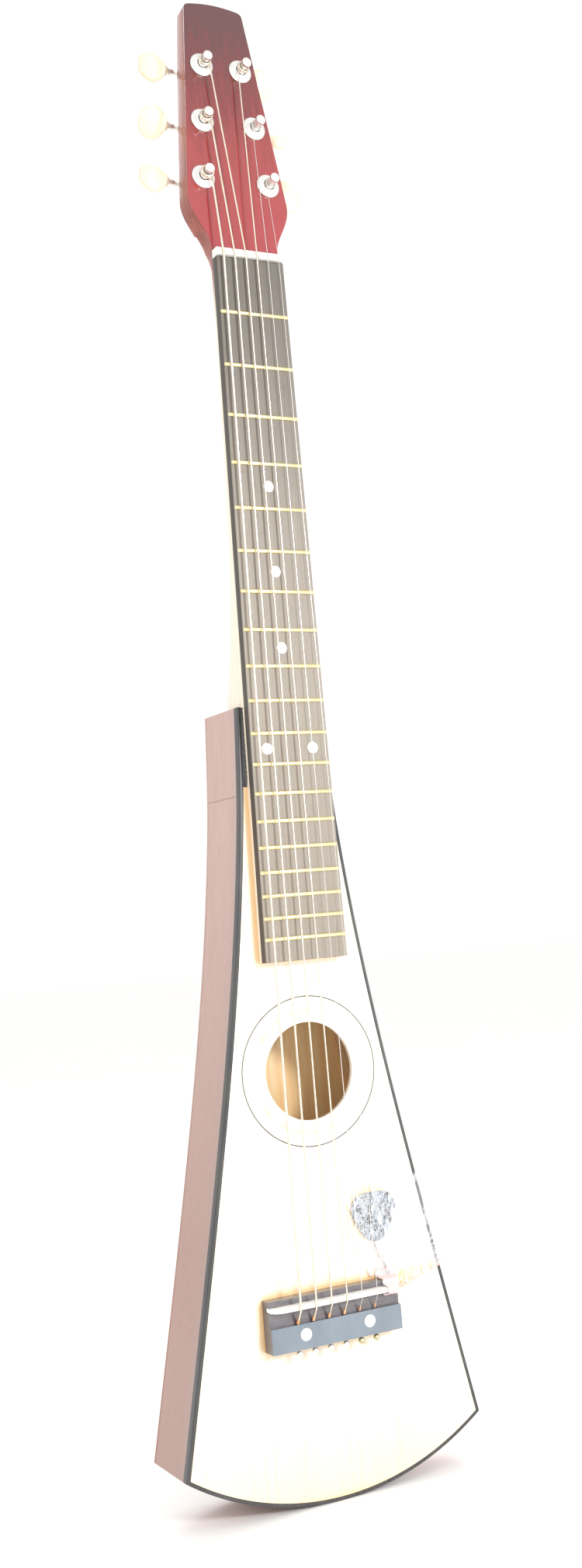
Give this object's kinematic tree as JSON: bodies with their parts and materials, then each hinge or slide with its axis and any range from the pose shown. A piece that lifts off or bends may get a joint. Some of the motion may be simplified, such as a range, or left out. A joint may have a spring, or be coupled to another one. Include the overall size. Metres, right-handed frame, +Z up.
{
  "type": "travel guitar",
  "caption": "Small flared six-string travel guitar with a tilted headstock, geared tuning keys, pinless bridge and round sound hole.",
  "frame": {"origin": "centre line at the nut end of the fretboard, on the face of the fretboard", "axes": "+Z up the neck towards the headstock tip, strings facing -Y, treble side towards +X"},
  "size_m": [0.191, 0.0629, 0.899],
  "materials": {
    "spruce_top": "satin lacquer over pale straight-grained spruce",
    "black_trim": "gloss black",
    "mahogany": "gloss red-brown",
    "inner_wood": "bare",
    "neck_wood": "satin lacquer over pale wood",
    "cherry_gloss": "high-gloss cherry red, darker towards the tip",
    "dark_board": "satin",
    "fret_brass": "polished",
    "bone_white": "satin",
    "black_bridge": "gloss black",
    "nickel": "polished",
    "gear_brass": "machined",
    "cream_plastic": "gloss cream",
    "string_steel": "drawn and wound wire",
    "pearl": "marbled pearl",
    "clear_film": "clear film"
  },
  "bodies": {
    "root": {"soundboard": "spruce_top", "binding": "black_trim", "back_panel": "mahogany", "bass_side": "mahogany", "treble_side": "mahogany", "tail_side": "mahogany", "tail_block": "inner_wood", "front_lining": "inner_wood", "back_lining": "inner_wood", "upper_brace": "inner_wood", "lower_brace": "inner_wood", "back_brace": "inner_wood", "bridge_plate": "inner_wood", "neck": "neck_wood", "headstock_face": "cherry_gloss", "fretboard": "dark_board", "frets": "fret_brass", "nut": "bone_white", "saddle": "bone_white", "bridge": "black_bridge", "bass_tuner_plate": "nickel", "treble_tuner_plate": "nickel", "pick": "pearl", "pick_bag": "clear_film", "bushing_low_e": "nickel", "string_low_e": "string_steel", "bushing_a": "nickel", "string_a": "string_steel", "bushing_d": "nickel", "string_d": "string_steel", "bushing_g": "nickel", "string_g": "string_steel", "bushing_b": "nickel", "string_b": "string_steel", "bushing_high_e": "nickel", "string_high_e": "string_steel"},
    "key_body_low_e": {"worm_low_e": "nickel", "button_low_e": "cream_plastic"},
    "post_body_low_e": {"post_low_e": "nickel", "gear_low_e": "gear_brass"},
    "key_body_a": {"worm_a": "nickel", "button_a": "cream_plastic"},
    "post_body_a": {"post_a": "nickel", "gear_a": "gear_brass"},
    "key_body_d": {"worm_d": "nickel", "button_d": "cream_plastic"},
    "post_body_d": {"post_d": "nickel", "gear_d": "gear_brass"},
    "key_body_g": {"worm_g": "nickel", "button_g": "cream_plastic"},
    "post_body_g": {"post_g": "nickel", "gear_g": "gear_brass"},
    "key_body_b": {"worm_b": "nickel", "button_b": "cream_plastic"},
    "post_body_b": {"post_b": "nickel", "gear_b": "gear_brass"},
    "key_body_high_e": {"worm_high_e": "nickel", "button_high_e": "cream_plastic"},
    "post_body_high_e": {"post_high_e": "nickel", "gear_high_e": "gear_brass"}
  },
  "joints": [
    {"name": "key_turn_low_e", "type": "hinge", "parent": "root", "child": "key_body_low_e", "pos_m": [-0.02116, 0.03095, 0.05556], "axis": [-0.9937, 0.0117, 0.1112], "continuous": true},
    {"name": "post_turn_low_e", "type": "hinge", "parent": "root", "child": "post_body_low_e", "pos_m": [-0.0217, 0.01056, 0.05291], "axis": [0, 0.9945, -0.1045], "continuous": true},
    {"name": "key_turn_a", "type": "hinge", "parent": "root", "child": "key_body_a", "pos_m": [-0.01686, 0.03494, 0.09355], "axis": [-0.9937, 0.0117, 0.1112], "continuous": true},
    {"name": "post_turn_a", "type": "hinge", "parent": "root", "child": "post_body_a", "pos_m": [-0.0174, 0.01455, 0.0909], "axis": [0, 0.9945, -0.1045], "continuous": true},
    {"name": "key_turn_d", "type": "hinge", "parent": "root", "child": "key_body_d", "pos_m": [-0.01256, 0.03894, 0.13154], "axis": [-0.9937, 0.0117, 0.1112], "continuous": true},
    {"name": "post_turn_d", "type": "hinge", "parent": "root", "child": "post_body_d", "pos_m": [-0.0131, 0.01855, 0.12889], "axis": [0, 0.9945, -0.1045], "continuous": true},
    {"name": "key_turn_g", "type": "hinge", "parent": "root", "child": "key_body_g", "pos_m": [0.01256, 0.03894, 0.13154], "axis": [0.9937, 0.0117, 0.1112], "continuous": true},
    {"name": "post_turn_g", "type": "hinge", "parent": "root", "child": "post_body_g", "pos_m": [0.0131, 0.01855, 0.12889], "axis": [0, 0.9945, -0.1045], "continuous": true},
    {"name": "key_turn_b", "type": "hinge", "parent": "root", "child": "key_body_b", "pos_m": [0.01686, 0.03494, 0.09355], "axis": [0.9937, 0.0117, 0.1112], "continuous": true},
    {"name": "post_turn_b", "type": "hinge", "parent": "root", "child": "post_body_b", "pos_m": [0.0174, 0.01455, 0.0909], "axis": [0, 0.9945, -0.1045], "continuous": true},
    {"name": "key_turn_high_e", "type": "hinge", "parent": "root", "child": "key_body_high_e", "pos_m": [0.02116, 0.03095, 0.05556], "axis": [0.9937, 0.0117, 0.1112], "continuous": true},
    {"name": "post_turn_high_e", "type": "hinge", "parent": "root", "child": "post_body_high_e", "pos_m": [0.0217, 0.01056, 0.05291], "axis": [0, 0.9945, -0.1045], "continuous": true}
  ],
  "couplings": [
    {"joint": "post_turn_low_e", "follows": "key_turn_low_e", "ratio": 0.071429},
    {"joint": "post_turn_a", "follows": "key_turn_a", "ratio": 0.071429},
    {"joint": "post_turn_d", "follows": "key_turn_d", "ratio": 0.071429},
    {"joint": "post_turn_g", "follows": "key_turn_g", "ratio": -0.071429},
    {"joint": "post_turn_b", "follows": "key_turn_b", "ratio": -0.071429},
    {"joint": "post_turn_high_e", "follows": "key_turn_high_e", "ratio": -0.071429}
  ]
}
